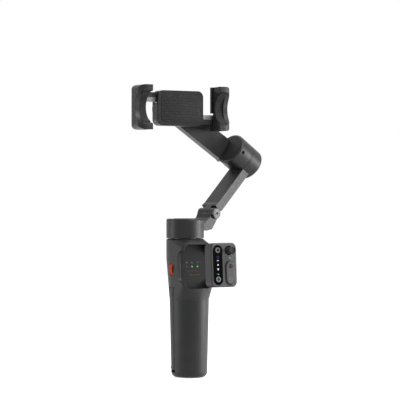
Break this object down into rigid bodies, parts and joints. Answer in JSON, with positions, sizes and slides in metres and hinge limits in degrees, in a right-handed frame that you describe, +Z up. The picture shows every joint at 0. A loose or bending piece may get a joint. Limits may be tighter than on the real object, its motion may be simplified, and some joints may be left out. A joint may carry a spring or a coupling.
{
  "type": "smartphone gimbal",
  "caption": "Handheld three-axis phone stabiliser with a folding arm, a self-centring clamp, fold-out legs and a detachable remote.",
  "frame": {"origin": "mouth of the tripod thread, in the middle of the grip's bottom face", "axes": "+Z up along the grip, -Y towards the dock and the user's thumb, +X to the arm's side"},
  "size_m": [0.1464, 0.1191, 0.2792],
  "materials": {
    "charcoal_shell": "fine matt texture",
    "leg_shell": "fine matt texture",
    "black_rubber": "matt",
    "dock_plate": "satin",
    "gloss_panel": "high gloss",
    "button_ring": "satin",
    "orange_wheel": "satin",
    "steel": "turned",
    "black_steel": "blackened",
    "bright_metal": "polished",
    "brass": "turned",
    "gold": "plated",
    "copper_winding": "wound wire",
    "circuit_board": "solder mask",
    "cell_wrap": "shrink wrap",
    "cell_pouch": "foil",
    "green_light": "clear lens",
    "teal_light": "clear lens"
  },
  "bodies": {
    "handle": {"grip_shell": "charcoal_shell", "head_shell": "charcoal_shell", "tripod_insert": "brass", "battery_cell": "cell_wrap", "main_board": "circuit_board", "pan_post": "steel", "pan_stator": "copper_winding", "dock_plate": "dock_plate", "contact_pins": "gold", "dock_magnets": "steel", "status_lights": "green_light", "leg_pins": "steel", "wheel_axle": "steel", "trigger_pin": "steel", "usb_port": "steel"},
    "thumbwheel": {"thumbwheel": "orange_wheel"},
    "trigger": {"trigger": "charcoal_shell"},
    "power_button": {"power_button": "black_rubber"},
    "left_leg": {"left_leg": "leg_shell", "left_foot": "black_rubber"},
    "right_leg": {"right_leg": "leg_shell", "right_foot": "black_rubber"},
    "rear_leg": {"rear_leg": "leg_shell", "rear_foot": "black_rubber"},
    "pan_arm": {"pan_housing": "charcoal_shell", "pan_rotor": "steel", "pan_shaft": "steel", "hinge_pin": "bright_metal"},
    "upper_arm": {"upper_arm": "charcoal_shell", "tilt_stator": "copper_winding"},
    "tilt_link": {"tilt_link": "charcoal_shell", "can_screw": "black_steel", "tilt_rotor": "steel", "tilt_shaft": "steel", "roll_stator": "copper_winding"},
    "clamp": {"clamp_base": "charcoal_shell", "clamp_cover": "black_rubber", "roll_rotor": "steel", "roll_shaft": "steel", "guide_rods": "steel"},
    "pinion": {"sync_pinion": "brass"},
    "left_jaw": {"left_jaw": "charcoal_shell", "left_rack": "steel", "left_pad": "black_rubber"},
    "right_jaw": {"right_jaw": "charcoal_shell", "right_rack": "steel", "right_pad": "black_rubber"},
    "remote": {"remote_rear": "charcoal_shell", "remote_front": "charcoal_shell", "remote_panel": "gloss_panel", "remote_light": "teal_light", "remote_contacts": "gold", "remote_board": "circuit_board", "remote_battery": "cell_pouch", "joystick_base": "black_rubber"},
    "joystick_ring": {"joystick_ring": "steel"},
    "joystick": {"joystick": "black_rubber"},
    "zoom_rocker": {"zoom_rocker": "charcoal_shell"},
    "upper_button": {"upper_button": "button_ring"},
    "lower_button": {"lower_button": "button_ring"}
  },
  "joints": [
    {"name": "pan", "type": "hinge", "parent": "handle", "child": "pan_arm", "pos_m": [0, 0.008, 0.14], "axis": [0, 0, 1], "continuous": true},
    {"name": "fold", "type": "hinge", "parent": "pan_arm", "child": "upper_arm", "pos_m": [0.03043, 0.01615, 0.1563], "axis": [-0.2588, 0.9659, 0], "range_deg": [0, 100]},
    {"name": "tilt", "type": "hinge", "parent": "upper_arm", "child": "tilt_link", "pos_m": [0.08157, 0.02986, 0.20655], "axis": [-0.828, -0.2219, 0.515], "range_deg": [-110, 110]},
    {"name": "roll", "type": "hinge", "parent": "tilt_link", "child": "clamp", "pos_m": [0, 0.03, 0.2578], "axis": [0, 1, 0], "range_deg": [-100, 100]},
    {"name": "left_jaw_slide", "type": "slide", "parent": "clamp", "child": "left_jaw", "axis": [-1, 0, 0], "range_m": [-0.0105, 0.007]},
    {"name": "right_jaw_slide", "type": "slide", "parent": "clamp", "child": "right_jaw", "axis": [1, 0, 0], "range_m": [-0.0105, 0.007]},
    {"name": "pinion_spin", "type": "hinge", "parent": "clamp", "child": "pinion", "pos_m": [0, 0.022, 0.2578], "axis": [0, 1, 0], "range_deg": [-98, 148]},
    {"name": "remote_docking", "type": "slide", "parent": "handle", "child": "remote", "axis": [0, 0.9981, -0.061], "range_m": [0, 0.045]},
    {"name": "joystick_up_down", "type": "hinge", "parent": "remote", "child": "joystick_ring", "pos_m": [0.005, -0.06158, 0.12223], "axis": [1, 0, 0], "range_deg": [-14, 14], "stiffness_Nm_per_rad": 0.02},
    {"name": "joystick_left_right", "type": "hinge", "parent": "joystick_ring", "child": "joystick", "pos_m": [0.005, -0.06158, 0.12223], "axis": [0, 0.061, 0.9981], "range_deg": [-14, 14], "stiffness_Nm_per_rad": 0.02},
    {"name": "zoom_rocking", "type": "hinge", "parent": "remote", "child": "zoom_rocker", "pos_m": [0.0059, -0.064, 0.10154], "axis": [1, 0, 0], "range_deg": [-3, 3], "stiffness_Nm_per_rad": 0.3},
    {"name": "upper_button_press", "type": "slide", "parent": "remote", "child": "upper_button", "axis": [0, 0.9981, -0.061], "range_m": [0, 0.0005], "stiffness_N_per_m": 400},
    {"name": "lower_button_press", "type": "slide", "parent": "remote", "child": "lower_button", "axis": [0, 0.9981, -0.061], "range_m": [0, 0.0005], "stiffness_N_per_m": 400},
    {"name": "thumbwheel_spin", "type": "hinge", "parent": "handle", "child": "thumbwheel", "pos_m": [-0.0094, 0.0025, 0.1034], "axis": [0, 1, 0], "continuous": true},
    {"name": "trigger_pull", "type": "hinge", "parent": "handle", "child": "trigger", "pos_m": [0, 0.0185, 0.108], "axis": [-1, 0, 0], "range_deg": [0, 8], "stiffness_Nm_per_rad": 0.3},
    {"name": "power_press", "type": "slide", "parent": "handle", "child": "power_button", "axis": [-1, 0, 0], "range_m": [0, 0.0006], "stiffness_N_per_m": 400},
    {"name": "left_leg_swing", "type": "hinge", "parent": "handle", "child": "left_leg", "pos_m": [-0.0145, 0.003, 0.009], "axis": [0, -1, 0], "range_deg": [0, 108]},
    {"name": "right_leg_swing", "type": "hinge", "parent": "handle", "child": "right_leg", "pos_m": [0.0145, 0.003, 0.009], "axis": [0, 1, 0], "range_deg": [0, 108]},
    {"name": "rear_leg_swing", "type": "hinge", "parent": "handle", "child": "rear_leg", "pos_m": [0, 0.016, 0.009], "axis": [-1, 0, 0], "range_deg": [0, 108]}
  ],
  "couplings": [
    {"joint": "right_jaw_slide", "follows": "left_jaw_slide", "ratio": 1},
    {"joint": "pinion_spin", "follows": "left_jaw_slide", "rad_per_m": -208.33}
  ]
}
